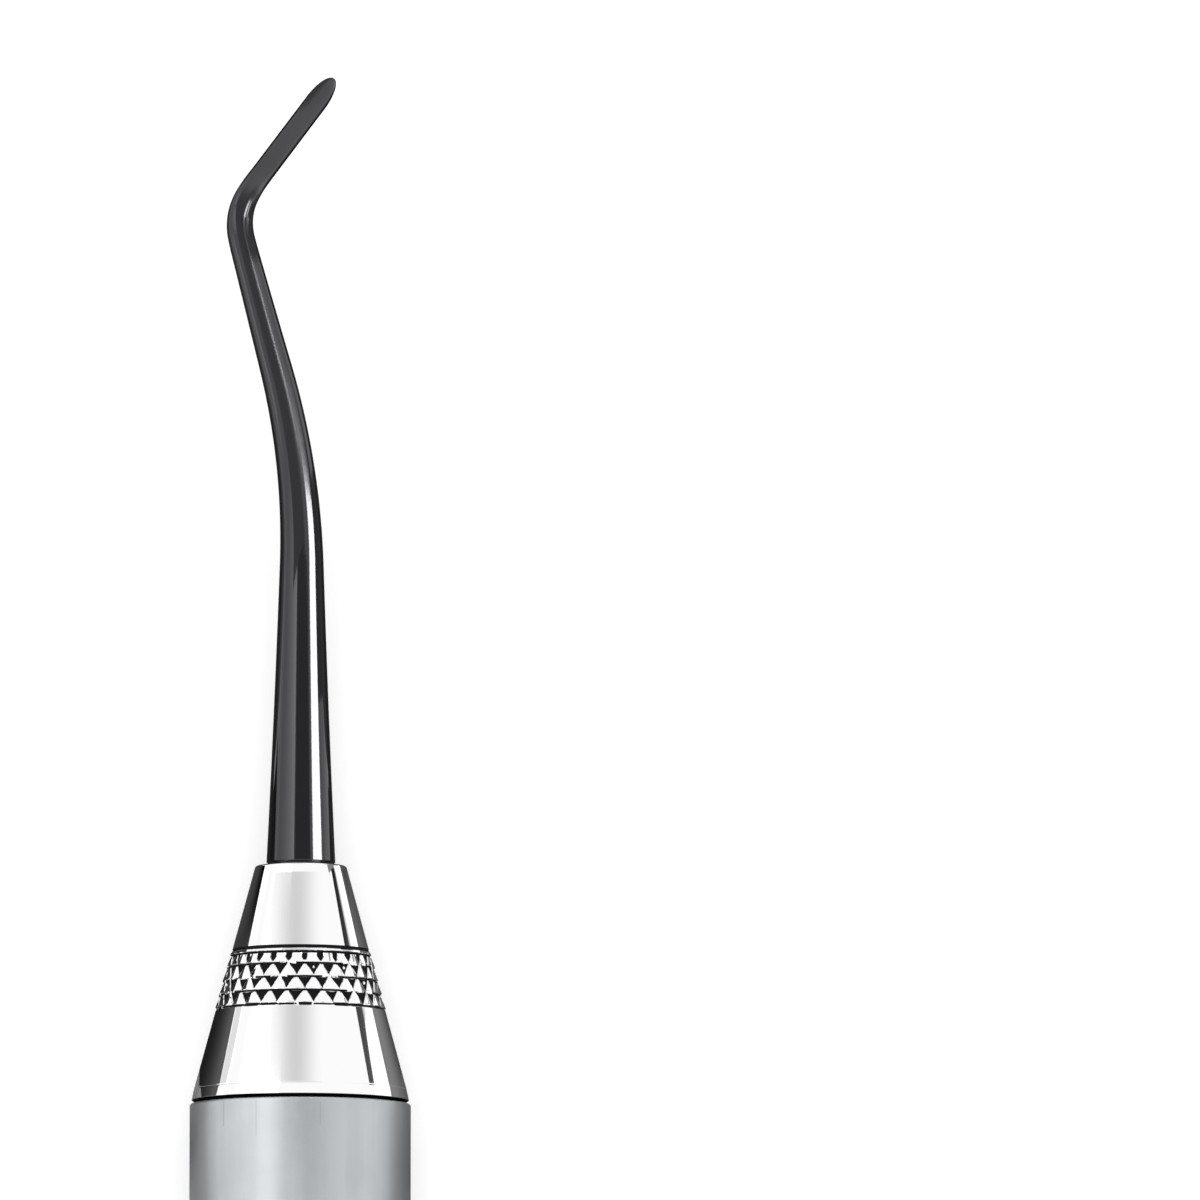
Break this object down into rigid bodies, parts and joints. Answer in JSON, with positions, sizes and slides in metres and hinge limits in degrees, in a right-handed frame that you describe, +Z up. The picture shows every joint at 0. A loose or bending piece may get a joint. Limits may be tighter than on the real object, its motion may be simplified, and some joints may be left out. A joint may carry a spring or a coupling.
{
  "type": "composite spatula",
  "caption": "Double-ended dental composite spatula: hollow satin handle, polished knurled cones, black coated bent shanks with a narrow and a wider flat blade.",
  "frame": {"origin": "centre of the part's footprint on the surface that it lies on: middle of its length and width, at its lowest point", "axes": "+X along the handle to the narrow blade; +Z up from the surface; both working ends bend in the level plane through the handle's axis"},
  "size_m": [0.1762, 0.01, 0.01],
  "materials": {
    "satin_steel": "satin",
    "polished_steel": "mirror polished",
    "black_coating": "glossy hard coating on steel"
  },
  "bodies": {
    "root": {"handle_tube": "satin_steel", "narrow_end_cone": "polished_steel", "wide_end_cone": "polished_steel", "narrow_working_end": "black_coating", "wide_working_end": "black_coating"}
  },
  "joints": []
}
